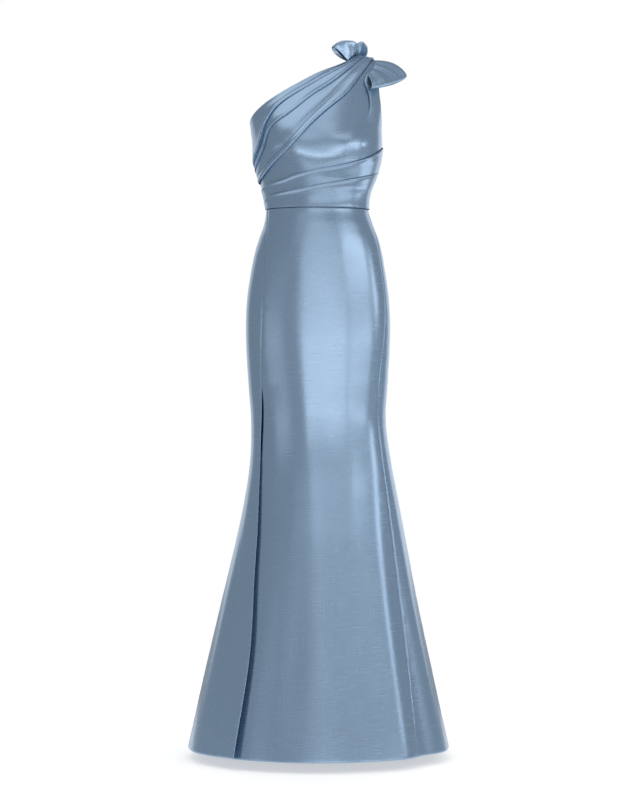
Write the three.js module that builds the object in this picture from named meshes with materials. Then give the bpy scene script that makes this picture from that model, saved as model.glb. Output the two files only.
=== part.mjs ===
// One-shoulder evening dress in satin, standing filled out as it is worn.
// Millimetres, +Z up, front towards -Y, the wearer's left towards +X. The origin is
// where the dress hangs from the wearer's left shoulder, on the underside of the strap.
import * as THREE from "three";

// Driving dimensions
const cloth = 1.8; // one layer of satin with the underlining fused to it
const seamGap = 0.3; // between pieces that are sewn edge to edge
const layerGap = 0.7; // under a piece that lies on another
const shoulderGap = 0.4; // from the shoulder line to either edge of its sharply bent seam
const shoulderReach = 104; // from the body's axis out to the shoulder seat
const waistRun = 367; // from the shoulder down along the cloth to the waist seam
const hemRun = 1570; // from the shoulder down along the cloth to the hem
const sideSeam = 90; // angle of the side seams, from centre front
const slitTop = 761; // run at which the right side-front seam opens
const zipEnd = 590; // run at which the centre-back zip ends

// The form that the cloth is filled out to. Each row is a level section: its run down
// the cloth from the shoulder, its height, its half width, how far its centre leans to
// the wearer's left, its depth in front and behind, and how square the oval is. The
// first row mirrors the third, so that the form is level where it crosses the shoulder.
const form = [
  { run: -10, z: -2.5, half: 150, lean: -4, front: -9.5, back: -9.5, square: 2.6 },
  { run: 0, z: 0, half: 150, lean: -4, front: 0, back: 0, square: 2.6 },
  { run: 10, z: -2.5, half: 150, lean: -4, front: 9.5, back: 9.5, square: 2.6 },
  { run: 22, z: -9, half: 150, lean: -4, front: 19.5, back: 19.5, square: 2.6 },
  { run: 36, z: -20, half: 150, lean: -4, front: 29, back: 30, square: 2.6 },
  { run: 60, z: -40, half: 150, lean: -4, front: 43, back: 46, square: 2.6 },
  { run: 90, z: -67, half: 149, lean: -4, front: 58, back: 62, square: 2.6 },
  { run: 130, z: -103, half: 148, lean: -4, front: 77, back: 78, square: 2.6 },
  { run: 178, z: -148, half: 146, lean: -4, front: 97, back: 90, square: 2.55 },
  { run: 223, z: -193, half: 144, lean: -1, front: 110, back: 96, square: 2.4 },
  { run: 259, z: -229, half: 141, lean: -2, front: 112, back: 97, square: 2.25 },
  { run: 295, z: -265, half: 132, lean: -3, front: 105, back: 93, square: 2.2 },
  { run: 331, z: -301, half: 120, lean: -4.5, front: 95, back: 86, square: 2.15 },
  { run: 367, z: -337, half: 115, lean: -3, front: 87, back: 80, square: 2.12 },
  { run: 403, z: -373, half: 123, lean: 0, front: 90, back: 84, square: 2.2 },
  { run: 435, z: -405, half: 135, lean: 0.5, front: 92.5, back: 93, square: 2.2 },
  { run: 479, z: -449, half: 146, lean: -0.5, front: 95, back: 108, square: 2.2 },
  { run: 569, z: -539, half: 159.5, lean: -1, front: 98, back: 126, square: 2.2 },
  { run: 650, z: -620, half: 162, lean: -1, front: 100, back: 129, square: 2.2 },
  { run: 750, z: -720, half: 157, lean: -1, front: 101, back: 123, square: 2.15 },
  { run: 840, z: -810, half: 151.5, lean: 0, front: 103.5, back: 116, square: 2.1 },
  { run: 929, z: -899, half: 158, lean: 4.5, front: 112, back: 121, square: 2.1 },
  { run: 1019, z: -989, half: 173, lean: 6.5, front: 129, back: 137, square: 2.05 },
  { run: 1109, z: -1079, half: 191, lean: 5.5, front: 148, back: 156, square: 2 },
  { run: 1243, z: -1213, half: 220, lean: 2, front: 174, back: 184, square: 2 },
  { run: 1423, z: -1393, half: 261, lean: 0, front: 213, back: 221, square: 2 },
  { run: 1570, z: -1540, half: 294, lean: 0, front: 250, back: 247, square: 2 },
];

// Moulded fullness of the two cups: place, reach and how far each stands out.
const cups = [
  { x: -70, run: 232, reach: 46, rise: 7 },
  { x: 70, run: 232, reach: 46, rise: 7 },
];

// Soft flutes of the flared skirt, at full depth at the hem and gone at the knee.
const fluteTop = 930;
const fluteGrowth = 1.3; // above 1, the flutes deepen faster towards the hem
const flutes = [
  { angle: -64, spread: 11, depth: 5 },
  { angle: 38, spread: 9, depth: 5 },
  { angle: 53, spread: 7, depth: -7 },
  { angle: 69, spread: 9, depth: 5 },
  { angle: 104, spread: 12, depth: -6 },
  { angle: 131, spread: 13, depth: 8 },
  { angle: 157, spread: 11, depth: -6 },
  { angle: 180, spread: 12, depth: 7 },
  { angle: -155, spread: 12, depth: -7 },
  { angle: -127, spread: 13, depth: 9 },
  { angle: -102, spread: 10, depth: -5 },
];

// Side-front seams of the skirt: angle from centre front at each run.
const rightSeam = [
  { run: 367, angle: -75 },
  { run: 438, angle: -58 },
  { run: 572, angle: -48 },
  { run: 761, angle: -52 },
  { run: 903, angle: -57 },
  { run: 1122, angle: -46 },
  { run: 1330, angle: -37 },
  { run: 1570, angle: -37 },
];
const leftSeam = [
  { run: 367, angle: 80 },
  { run: 437, angle: 72 },
  { run: 575, angle: 67 },
  { run: 747, angle: 58 },
  { run: 850, angle: 60 },
  { run: 992, angle: 58 },
  { run: 1299, angle: 54 },
  { run: 1570, angle: 48 },
];

// How far the centre panel's slit edge lies beyond the side panel's free edge
// (a gap where it is below zero), how deep it is pressed in, and how far the
// side panel's free edge stands off.
const slit = [
  { run: 761, underlap: 0, dip: 0, standOff: 0 },
  { run: 800, underlap: -2.5, dip: 1.5, standOff: 0.5 },
  { run: 880, underlap: -1.5, dip: 3, standOff: 1 },
  { run: 960, underlap: 8, dip: 3.4, standOff: 2 },
  { run: 1100, underlap: 24, dip: 3.4, standOff: 5 },
  { run: 1570, underlap: 26, dip: 3.4, standOff: 13 },
];
const slitSoftness = 60; // width over which either slit edge eases back to the form
const slitShelf = 1.3; // above 1, the centre panel stays fully pressed in near the slit

// Edges of the bodice, as run at each angle from centre front. The strap's share of
// the shoulder line is flat at run 0.
const strapNeckAngle = 32;
const strapArmAngle = 57;
const frontNeckline = [
  { angle: -90, run: 182 },
  { angle: -69, run: 165 },
  { angle: -54, run: 150 },
  { angle: -38, run: 125 },
  { angle: -23, run: 99 },
  { angle: -4, run: 67 },
  { angle: 11, run: 44 },
  { angle: 22, run: 29 },
  { angle: 28, run: 14 },
  { angle: 32, run: 0 },
];
const backNeckline = [
  { angle: -90, run: 182 },
  { angle: -60, run: 163 },
  { angle: -35, run: 136 },
  { angle: -12, run: 102 },
  { angle: 0, run: 84 },
  { angle: 14, run: 60 },
  { angle: 24, run: 34 },
  { angle: 29, run: 14 },
  { angle: 32, run: 0 },
];
const armhole = [
  { run: 0, angle: 57 },
  { run: 50, angle: 58.5 },
  { run: 98, angle: 61 },
  { run: 121, angle: 63.5 },
  { run: 147, angle: 69 },
  { run: 166, angle: 76 },
  { run: 182, angle: 90 },
];

// Pleat lines of the shoulder drape, from the right side seam (station 0) up over the
// left shoulder: the rolled lower edge, three pleats and the neckline, each as an
// angle and a run, then how sharply the first pleat and the others are folded, how
// full they stand and how far the cloth is padded out.
const drape = [
  {
    at: 0, lowAngle: -89.5, lowRun: 311, thirdAngle: -89.5, thirdRun: 299,
    secondAngle: -89.5, secondRun: 287, firstAngle: -89.5, firstRun: 275,
    neckAngle: -89.5, neckRun: 178, firstSharp: 1, sharp: 1,
    full: 0.5, pad: 0,
  },
  {
    at: 1, lowAngle: -62, lowRun: 298, thirdAngle: -64, thirdRun: 286,
    secondAngle: -67, secondRun: 267, firstAngle: -68.5, firstRun: 253,
    neckAngle: -81, neckRun: 170, firstSharp: 1, sharp: 1,
    full: 1.1, pad: 0,
  },
  {
    at: 2, lowAngle: -45, lowRun: 277, thirdAngle: -48, thirdRun: 266,
    secondAngle: -53, secondRun: 239, firstAngle: -56, firstRun: 226,
    neckAngle: -70, neckRun: 164, firstSharp: 1, sharp: 1,
    full: 1.2, pad: 0,
  },
  {
    at: 3, lowAngle: -28, lowRun: 246, thirdAngle: -31.5, thirdRun: 237,
    secondAngle: -41, secondRun: 194, firstAngle: -45, firstRun: 181,
    neckAngle: -54, neckRun: 146, firstSharp: 1, sharp: 1,
    full: 1, pad: 0,
  },
  {
    at: 4, lowAngle: -10, lowRun: 199, thirdAngle: -13.5, thirdRun: 190,
    secondAngle: -23, secondRun: 159, firstAngle: -31, firstRun: 137,
    neckAngle: -38, neckRun: 121, firstSharp: 0.8, sharp: 1,
    full: 0.9, pad: 0,
  },
  {
    at: 5, lowAngle: 10, lowRun: 148, thirdAngle: 5.5, thirdRun: 137,
    secondAngle: -4, secondRun: 114, firstAngle: -11, firstRun: 97,
    neckAngle: -18, neckRun: 86, firstSharp: 0.45, sharp: 1,
    full: 0.8, pad: 0,
  },
  {
    at: 6, lowAngle: 25, lowRun: 109, thirdAngle: 19, thirdRun: 94,
    secondAngle: 13.5, secondRun: 78, firstAngle: 7.5, firstRun: 64,
    neckAngle: 2, neckRun: 53, firstSharp: 0.2, sharp: 1,
    full: 0.8, pad: 0.5,
  },
  {
    at: 7, lowAngle: 37, lowRun: 62, thirdAngle: 32, thirdRun: 50,
    secondAngle: 28, secondRun: 42, firstAngle: 25, firstRun: 34,
    neckAngle: 22, neckRun: 26, firstSharp: 0.1, sharp: 0.7,
    full: 0.8, pad: 3.5,
  },
  {
    at: 8, lowAngle: 52, lowRun: 0, thirdAngle: 47, thirdRun: 0,
    secondAngle: 42.5, secondRun: 0, firstAngle: 38, firstRun: 0,
    neckAngle: 33.5, neckRun: 0, firstSharp: 0, sharp: 0.2,
    full: 0.6, pad: 5.5,
  },
  {
    at: 9, lowAngle: 52, lowRun: -34, thirdAngle: 48.5, thirdRun: -34,
    secondAngle: 45, secondRun: -34, firstAngle: 41.5, firstRun: -34,
    neckAngle: 38, neckRun: -34, firstSharp: 0, sharp: 0.2,
    full: 0.2, pad: 0,
  },
];

// Section across the drape from the neckline down: on which line a point lies, how far
// below that line, how high it stands, and how much of the padding it takes.
const drapeSection = [
  { line: "neck", below: 0, toNext: 0, lift: 0, crown: 0.1 },
  { line: "neck", below: 2.5, toNext: 0, lift: 1.1, crown: 0.35 },
  { line: "neck", below: 0, toNext: 0.5, lift: 1.6, crown: 0.8 },
  { line: "first", below: -1.2, toNext: 0, lift: 6, crown: 1 },
  { line: "first", below: 1.2, toNext: 0, lift: 1, crown: 1 },
  { line: "first", below: 0, toNext: 0.5, lift: 2.4, crown: 0.9 },
  { line: "second", below: -1.2, toNext: 0, lift: 4.6, crown: 0.8 },
  { line: "second", below: 1.2, toNext: 0, lift: 0.9, crown: 0.75 },
  { line: "second", below: 0, toNext: 0.5, lift: 3, crown: 0.6 },
  { line: "third", below: 0, toNext: 0, lift: 1.2, crown: 0.4 },
  { line: "third", below: 0, toNext: 0.5, lift: 4.6, crown: 0.3 },
  { line: "low", below: -2, toNext: 0, lift: 4.4, crown: 0.15 },
  { line: "low", below: 0, toNext: 0, lift: 0.3, crown: 0.1 },
];
const drapeLines = ["neck", "first", "second", "third", "low"];
const drapeLoft = 2.6; // how high the cloth stands where no pleat is folded
const pleatReach = 0.3; // most that a point strays from its line, as a share of the gap

// Inner edge of the pleat beside the armhole, and where that pleat ends below.
const armholePleat = [
  { run: 6, angle: 54.3 },
  { run: 27, angle: 51.5 },
  { run: 45, angle: 46.5 },
  { run: 62, angle: 42 },
  { run: 80, angle: 40.5 },
  { run: 101, angle: 44 },
  { run: 121, angle: 46 },
  { run: 148, angle: 47 },
  { run: 174, angle: 46 },
  { run: 196, angle: 43 },
];
const armholePleatEnd = { inner: 196, outer: 214, fade: 0.25 }; // fade: share of its length

// Upper edges of the midriff bands and the waist seam: run at each angle.
const upperBandEdge = [
  { angle: -90, run: 326 },
  { angle: -55, run: 313 },
  { angle: -34, run: 305 },
  { angle: -21, run: 296 },
  { angle: 0, run: 285 },
  { angle: 21, run: 276 },
  { angle: 46, run: 259 },
  { angle: 70, run: 237 },
  { angle: 90, run: 226 },
];
const lowerBandEdge = [
  { angle: -90, run: 353 },
  { angle: -61, run: 339 },
  { angle: -35, run: 331 },
  { angle: -8, run: 322 },
  { angle: 20, run: 311 },
  { angle: 44, run: 300 },
  { angle: 61, run: 292 },
  { angle: 90, run: 282 },
];

// Loops of the bow. Along each strip: where it leaves the knot, on the form, then
// where its folded end stands, how full it is and how far it bows out past its edge.
const upperLoop = [
  { at: 0, angle: 26, run: 20.5, lift: 4.3, x: 31, y: -24, z: 26, full: 8, bow: 0 },
  { at: 0.15, angle: 27.3, run: 17, lift: 4.3, x: 41, y: -25, z: 34, full: 10, bow: 0 },
  { at: 0.3, angle: 28.5, run: 13, lift: 4.3, x: 54, y: -24, z: 39, full: 11, bow: 1 },
  { at: 0.55, angle: 30.6, run: 5, lift: 4, x: 77, y: -20, z: 39, full: 9, bow: 3 },
  { at: 0.68, angle: 31.5, run: -3, lift: 4, x: 87, y: -14, z: 35, full: 5, bow: 4 },
  { at: 0.82, angle: 32, run: -9, lift: 5, x: 99, y: -8, z: 39, full: 7, bow: 8 },
  { at: 1, angle: 32, run: -15, lift: 4.5, x: 109, y: 2, z: 31, full: 6, bow: 12 },
];
const outerLoop = [
  { at: 0, angle: 44, run: 66, lift: 6.2, x: 117, y: -64, z: -71, full: 9, bow: 0 },
  { at: 0.25, angle: 47, run: 54, lift: 6.2, x: 143, y: -58, z: -66, full: 11, bow: 0 },
  { at: 0.5, angle: 50, run: 42, lift: 5.9, x: 167, y: -50, z: -59, full: 11, bow: 1 },
  { at: 0.75, angle: 53, run: 30, lift: 5.5, x: 187, y: -42, z: -50, full: 9, bow: 3 },
  { at: 0.9, angle: 54.2, run: 23, lift: 5.1, x: 196, y: -37, z: -42, full: 7.5, bow: 6 },
  { at: 1, angle: 55, run: 18, lift: 4.9, x: 194, y: -33, z: -35, full: 6, bow: 9 },
];
const loopBack = 0.45; // how full a loop is behind, against its front
const loopRoot = 0.3; // how thick a loop is where it leaves the knot
const loopSwell = 1.2; // how late along its length a loop fills out
const loopSlant = 0.5; // how far its front is set along the strip, against its fullness
const loopTrace = 0.02; // share of the strip over which its direction is measured

// Concealed zip at the centre back
const tape = { width: 20, thickness: 1, behind: 1.4, below: 4 }; // below the neckline
const slider = { width: 7, length: 11, plate: 1.2, ear: 1.2, height: 4.2, below: 10 };
const pull = { width: 6.4, neck: 4, neckLength: 5, shoulder: 1.5, length: 24, thickness: 1.2 };
const hingePlace = { height: 2.8, above: -2.6 }; // in the slider's ears

// How many steps each wall is divided into, across and down or along.
const steps = {
  skirt: { center: 10, rightSide: 4, leftSide: 3, back: 8, down: 20 },
  bodiceFront: { neck: 13, strap: 5, down: 17 },
  bodiceBackLeft: { neck: 5, strap: 3, down: 17 },
  bodiceBackRight: { across: 7, down: 11 },
  drape: { front: 15, strap: 14 },
  pleat: { down: 13 },
  band: { across: 28 },
  upperLoop: { along: 8, around: 16 },
  outerLoop: { along: 7, around: 16 },
  tape: { across: 2, down: 22 },
};
const skirtEase = 1.25; // above 1, the rows are closer at the top
const bodiceEase = 1.35;

const radians = Math.PI / 180;

// Smooth reading of one column of a table at a value of another column.
function read(table, along, column, value) {
  const last = table.length - 1;
  const place = Math.min(Math.max(value, table[0][along]), table[last][along]);
  let i = 0;
  while (i < last - 1 && place > table[i + 1][along]) i += 1;
  const slope = (j) => {
    const before = table[Math.max(j - 1, 0)];
    const after = table[Math.min(j + 1, last)];
    return (after[column] - before[column]) / (after[along] - before[along]);
  };
  const step = table[i + 1][along] - table[i][along];
  const t = (place - table[i][along]) / step;
  const hold = 2 * t ** 3 - 3 * t ** 2 + 1;
  return (
    hold * table[i][column] +
    (1 - hold) * table[i + 1][column] +
    (t ** 3 - 2 * t ** 2 + t) * slope(i) * step +
    (t ** 3 - t ** 2) * slope(i + 1) * step
  );
}

function turned(angle, from) {
  return ((((angle - from) % 360) + 540) % 360) - 180;
}

// Outer face of the cloth at an angle from centre front (90 on the wearer's left, 180
// at centre back) and a run down from the shoulder. A negative run is behind the
// shoulder, on the line that the same angle follows in front.
function formPoint(angle, run) {
  if (run < 0) return formPoint(180 - angle, -run);
  const half = read(form, "run", "half", run);
  const square = read(form, "run", "square", run);
  const side = Math.sin(angle * radians);
  const fore = Math.cos(angle * radians);
  const oval = (Math.abs(side) ** square + Math.abs(fore) ** square) ** (-1 / square);
  const depth = read(form, "run", fore > 0 ? "front" : "back", run);
  const point = new THREE.Vector3(
    read(form, "run", "lean", run) + half * side * oval,
    -depth * fore * oval,
    read(form, "run", "z", run),
  );
  for (const cup of cups) {
    const away = Math.hypot(point.x - cup.x, run - cup.run) / cup.reach;
    if (fore > 0) point.y -= cup.rise * Math.exp(-(away ** 2));
  }
  const flare = Math.max(0, (run - fluteTop) / (hemRun - fluteTop)) ** fluteGrowth;
  for (const flute of flutes) {
    const away = turned(angle, flute.angle) / flute.spread;
    const rise = flare * flute.depth * Math.exp(-(away ** 2));
    point.x += rise * side;
    point.y -= rise * fore;
  }
  return point;
}

function outward(angle, run) {
  const step = 0.5;
  const across = formPoint(angle + step, run).sub(formPoint(angle - step, run));
  const down = formPoint(angle, run + step).sub(formPoint(angle, run - step));
  return down.cross(across).normalize();
}

function liftedPoint(angle, run, lift) {
  return formPoint(angle, run).addScaledVector(outward(angle, run), lift);
}

// The angle a given distance further round the form.
function shifted(angle, run, distance) {
  return angle + distance / formPoint(angle + 0.5, run).distanceTo(formPoint(angle - 0.5, run));
}

function spread(count, ease = 1) {
  return Array.from({ length: count + 1 }, (_, i) => (i / count) ** ease);
}

// A closed wall of cloth. patch(u, v) gives the angle, run and lift of its inner face.
function wall(patch, across, along, thickness = cloth) {
  const positions = [];
  for (const skin of [0, thickness]) {
    for (const v of along) {
      for (const u of across) {
        const { angle, run, lift } = patch(u, v);
        positions.push(...liftedPoint(angle, run, lift + skin).toArray());
      }
    }
  }
  const wide = across.length;
  const high = along.length;
  const index = (i, j, outer) => (outer ? wide * high : 0) + j * wide + i;
  const faces = [];
  for (let j = 0; j < high - 1; j += 1) {
    for (let i = 0; i < wide - 1; i += 1) {
      for (const outer of [false, true]) {
        const a = index(i, j, outer);
        const b = index(i, j + 1, outer);
        const c = index(i + 1, j, outer);
        const d = index(i + 1, j + 1, outer);
        faces.push(...(outer ? [a, b, c, c, b, d] : [c, b, a, d, b, c]));
      }
    }
  }
  const edge = [];
  for (let j = 0; j < high - 1; j += 1) edge.push([0, j]);
  for (let i = 0; i < wide - 1; i += 1) edge.push([i, high - 1]);
  for (let j = high - 1; j > 0; j -= 1) edge.push([wide - 1, j]);
  for (let i = wide - 1; i > 0; i -= 1) edge.push([i, 0]);
  edge.forEach(([i, j], k) => {
    const [m, n] = edge[(k + 1) % edge.length];
    const p = index(i, j, true);
    const q = index(m, n, true);
    faces.push(q, p, index(i, j, false), q, index(i, j, false), index(m, n, false));
  });
  return closed(positions, faces);
}

function closed(positions, faces) {
  const geometry = new THREE.BufferGeometry();
  geometry.setAttribute("position", new THREE.Float32BufferAttribute(positions, 3));
  geometry.setIndex(faces);
  geometry.computeVertexNormals();
  return geometry;
}

// Skirt panels: from one seam to the next, from the waist to the hem.
const skirtRows = spread(steps.skirt.down, skirtEase);

function skirtRun(v) {
  return waistRun + seamGap + (hemRun - waistRun - seamGap) * v;
}

function panel(from, to, columns, lift = () => 0) {
  return wall(
    (u, v) => {
      const run = skirtRun(v);
      const start = shifted(from(run), run, seamGap / 2);
      const end = shifted(to(run), run, -seamGap / 2);
      const angle = start + (end - start) * u;
      return { angle, run, lift: lift(angle, run) - cloth };
    },
    spread(columns),
    skirtRows,
  );
}

const rightSeamAt = (run) => read(rightSeam, "run", "angle", run);
const leftSeamAt = (run) => read(leftSeam, "run", "angle", run);
const slitAt = (column, run) => (run > slitTop ? read(slit, "run", column, run) : 0);

// Distance from the slit edge, as a share that falls to nothing over the soft width.
function nearSlit(angle, run) {
  const width = formPoint(angle, run).distanceTo(formPoint(rightSeamAt(run), run));
  return Math.max(0, 1 - width / slitSoftness);
}

function centerEdge(run) {
  return shifted(rightSeamAt(run), run, -slitAt("underlap", run));
}

function centerLift(angle, run) {
  const share = angle < rightSeamAt(run) ? 1 : Math.min(1, slitShelf * nearSlit(angle, run));
  return -slitAt("dip", run) * share;
}

function sideLift(angle, run) {
  return slitAt("standOff", run) * nearSlit(angle, run);
}

// Bodice panels: columns run down from the neckline, the shoulder or the armhole.
function armholeAt(run) {
  return read(armhole, "run", "angle", run);
}

function bodiceStations(neckShare, { neck, strap }) {
  const alongNeck = spread(neck).map((u) => u * neckShare);
  const alongStrap = spread(strap).slice(1).map((u) => neckShare + u * (1 - neckShare));
  return alongNeck.concat(alongStrap);
}

// start is the angle of the seam that the panel begins at, and facing is 1 for the
// front and -1 for the back, where the angles are counted from centre back.
function strappedPatch(start, neckline, facing) {
  return (u, v) => {
    const free = start + (strapArmAngle - start) * u;
    const top = free < strapNeckAngle ? read(neckline, "angle", "run", free) : shoulderGap;
    const run = top + (waistRun - seamGap - top) * v;
    const arm = shifted(armholeAt(run * u), run, -seamGap / 2); // its curve fades away from it
    const begin = shifted(start, run, seamGap / 2);
    const angle = begin + (arm - begin) * u;
    return { angle: facing > 0 ? angle : 180 - angle, run, lift: -cloth };
  };
}

const frontNeckShare = (strapNeckAngle + sideSeam) / (strapArmAngle + sideSeam);
const backNeckShare = strapNeckAngle / strapArmAngle;

const bodiceFront = wall(
  strappedPatch(-sideSeam, frontNeckline, 1),
  bodiceStations(frontNeckShare, steps.bodiceFront),
  spread(steps.bodiceFront.down, bodiceEase),
);
const backLeftPatch = strappedPatch(0, backNeckline, -1);
const bodiceBackLeft = wall(
  (u, v) => backLeftPatch(1 - u, v),
  bodiceStations(backNeckShare, steps.bodiceBackLeft).map((u) => 1 - u).reverse(),
  spread(steps.bodiceBackLeft.down, bodiceEase),
);
const bodiceBackRight = wall(
  (u, v) => {
    const fromCenter = sideSeam * u;
    const top = read(backNeckline, "angle", "run", -fromCenter);
    const run = top + (waistRun - seamGap - top) * v;
    const begin = shifted(-180, run, seamGap / 2);
    const end = shifted(-sideSeam, run, -seamGap / 2);
    return { angle: begin + (end - begin) * u, run, lift: -cloth };
  },
  spread(steps.bodiceBackRight.across),
  spread(steps.bodiceBackRight.down),
);

// Pleated drape
function drapeLine(line, v) {
  return {
    angle: read(drape, "at", `${line}Angle`, v),
    run: read(drape, "at", `${line}Run`, v),
  };
}

function drapePatch(row, v) {
  const here = drapeLine(row.line, v);
  const toward = row.below < 0 || row.line === "low" ? -1 : 1;
  const other = drapeLine(drapeLines[drapeLines.indexOf(row.line) + toward], v);
  const gap = formPoint(here.angle, here.run).distanceTo(formPoint(other.angle, other.run));
  const share = row.toNext + Math.min(Math.abs(row.below) / gap, pleatReach);
  const atEdge = row.line === "neck" || row.line === "low";
  const sharp = atEdge ? 1 : read(drape, "at", row.line === "first" ? "firstSharp" : "sharp", v);
  const folded = drapeLoft + (row.lift - drapeLoft) * sharp;
  return {
    angle: here.angle + (other.angle - here.angle) * share,
    run: here.run + (other.run - here.run) * share,
    lift: layerGap + folded * read(drape, "at", "full", v)
      + row.crown * read(drape, "at", "pad", v),
  };
}

const strapStation = 6; // from here on the drape bends sharply over the shoulder
const lastStation = drape.length - 1;
const drapeStations = spread(steps.drape.front).map((v) => v * strapStation).concat(
  spread(steps.drape.strap).slice(1).map((v) => strapStation + v * (lastStation - strapStation)),
);
const shoulderDrape = wall(
  (v, row) => drapePatch(row, v),
  drapeStations,
  drapeSection,
);

// Pleat beside the armhole, lying on the bodice front
const armholePleatSection = [
  { across: 0, lift: 0.4 },
  { across: 0.08, lift: 2.6 },
  { across: 0.3, lift: 2 },
  { across: 0.55, lift: 1 },
  { across: 0.78, lift: 0.3 },
  { across: 1, lift: 0 },
];
const armholePleatWall = wall(
  (section, v) => {
    const end = armholePleatEnd.inner
      + (armholePleatEnd.outer - armholePleatEnd.inner) * section.across;
    const start = armholePleat[0].run;
    const run = start + (end - start) * v;
    const inner = read(armholePleat, "run", "angle", run);
    const arm = shifted(armholeAt(run), run, -seamGap / 2);
    const angle = inner + (arm - inner) * section.across;
    const fade = Math.min(1, (1 - v) / armholePleatEnd.fade);
    return { angle, run, lift: layerGap + section.lift * fade };
  },
  armholePleatSection,
  spread(steps.pleat.down),
);

// Midriff bands: a folded top edge that stands proud, then flat cloth down to the next
const bandSection = [
  { below: 0, toBottom: 0, lift: 0.4 },
  { below: 2.5, toBottom: 0, lift: 2.2 },
  { below: 8, toBottom: 0, lift: 1.2 },
  { below: 8, toBottom: 0.45, lift: 0.5 },
  { below: 0, toBottom: 1, lift: 0 },
];

function band(topAt, bottomAt) {
  return wall(
    (u, row) => {
      const angle = -sideSeam + 2 * sideSeam * u;
      const top = topAt(angle);
      const bottom = bottomAt(angle) - seamGap;
      const run = top + row.below + (bottom - top - row.below) * row.toBottom;
      const inside = seamGap / 2 - seamGap * u;
      return { angle: shifted(angle, run, inside), run, lift: layerGap + row.lift };
    },
    spread(steps.band.across),
    bandSection,
  );
}

const upperBandAt = (angle) => read(upperBandEdge, "angle", "run", angle);
const lowerBandAt = (angle) => read(lowerBandEdge, "angle", "run", angle);

// One loop of the bow: a teardrop section from the knot out to the fold and back,
// swept along the strip, open at both of the strip's edges. facing is 1 where the
// section turns clockwise seen along the strip, and -1 where it turns the other way.
function loop(table, { along: stations, around }, facing) {
  const knot = (s) => liftedPoint(
    read(table, "at", "angle", s),
    read(table, "at", "run", s),
    read(table, "at", "lift", s),
  );
  const fold = (s) => new THREE.Vector3(
    read(table, "at", "x", s),
    read(table, "at", "y", s),
    read(table, "at", "z", s),
  );
  const positions = [];
  for (const inner of [true, false]) {
    for (const s of spread(stations)) {
      const root = knot(s);
      const reach = fold(s).sub(root);
      const before = Math.max(0, s - loopTrace);
      const after = Math.min(1, s + loopTrace);
      const along = knot(after).add(fold(after)).sub(knot(before)).sub(fold(before));
      const face = reach.clone().cross(along).normalize();
      const sideways = face.clone().cross(reach).normalize();
      const full = read(table, "at", "full", s);
      const bow = read(table, "at", "bow", s);
      const length = reach.length();
      const [rootGap, endGap] = inner ? [2 * cloth, cloth] : [0, 0];
      const shrink = inner ? 1 - cloth / (full * 0.5 * (1 + loopBack)) : 1;
      for (let k = 0; k < around; k += 1) {
        const turn = (2 * Math.PI * k) / around;
        const out = 0.5 * (1 - Math.cos(turn));
        const swell = loopRoot + (1 - loopRoot) * Math.sin(turn / 2) ** loopSwell;
        const side = Math.sin(turn) > 0 ? 1 : loopBack;
        const thick = Math.sin(turn) * swell * full * side * shrink;
        const place = rootGap + (length - rootGap - endGap) * out;
        const point = root.clone()
          .addScaledVector(reach, place / length)
          .addScaledVector(face, facing * thick)
          .addScaledVector(sideways, loopSlant * thick + bow * Math.sin(Math.PI * out));
        positions.push(...point.toArray());
      }
    }
  }
  const index = (s, k, outer) => ((outer ? stations + 1 : 0) + s) * around + (k % around);
  const faces = [];
  for (let k = 0; k < around; k += 1) {
    for (let s = 0; s < stations; s += 1) {
      for (const outer of [false, true]) {
        const a = index(s, k, outer);
        const b = index(s, k + 1, outer);
        const c = index(s + 1, k, outer);
        const d = index(s + 1, k + 1, outer);
        faces.push(...(outer === facing > 0 ? [a, b, c, c, b, d] : [c, b, a, d, b, c]));
      }
    }
    for (const s of [0, stations]) {
      const a = index(s, k, true);
      const b = index(s, k + 1, true);
      const c = index(s, k, false);
      const d = index(s, k + 1, false);
      faces.push(...((s === 0) === facing > 0 ? [a, c, b, b, c, d] : [b, c, a, d, c, b]));
    }
  }
  return closed(positions, faces);
}

// Zip at the centre back: a tape inside the seam, a slider outside at its top and a
// pull tab that hangs from the slider's bail.
const zipTop = read(backNeckline, "angle", "run", 0);
const tapePatch = (u, v) => {
  const top = zipTop + tape.below;
  const run = top + (zipEnd - top) * v;
  const angle = shifted(180, run, tape.width * (u - 0.5));
  return { angle, run, lift: -cloth - tape.behind - tape.thickness };
};

// Slider outline seen from its end: a plate with two ears that hold the pull's neck.
function sliderOutline() {
  const side = slider.width / 2;
  const slot = side - slider.ear;
  return new THREE.Shape([
    new THREE.Vector2(-side, 0),
    new THREE.Vector2(side, 0),
    new THREE.Vector2(side, slider.height),
    new THREE.Vector2(slot, slider.height),
    new THREE.Vector2(slot, slider.plate),
    new THREE.Vector2(-slot, slider.plate),
    new THREE.Vector2(-slot, slider.height),
    new THREE.Vector2(-side, slider.height),
  ]);
}

// Pull tab outline from its neck, which starts just above the hinge, to its round end.
function pullOutline() {
  const outline = new THREE.Shape();
  const end = pull.width / 2;
  outline.moveTo(-pull.neck / 2, pull.thickness / 2);
  outline.lineTo(-pull.neck / 2, -pull.neckLength);
  outline.lineTo(-end, -pull.neckLength - pull.shoulder);
  outline.lineTo(-end, end - pull.length);
  outline.absarc(0, end - pull.length, end, Math.PI, 2 * Math.PI, false);
  outline.lineTo(end, -pull.neckLength - pull.shoulder);
  outline.lineTo(pull.neck / 2, -pull.neckLength);
  outline.lineTo(pull.neck / 2, pull.thickness / 2);
  return outline;
}

function plate(outline, depth) {
  return new THREE.ExtrudeGeometry(outline, { depth, bevelEnabled: false, curveSegments: 8 });
}

const satin = new THREE.Color(0x7693b2);
const underside = new THREE.Color(0x5f7d9c);
const metal = new THREE.Color(0x8fa3ba);

const dress = new THREE.Group();
dress.name = "dress";
dress.position.set(-shoulderReach, 0, cloth);

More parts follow.
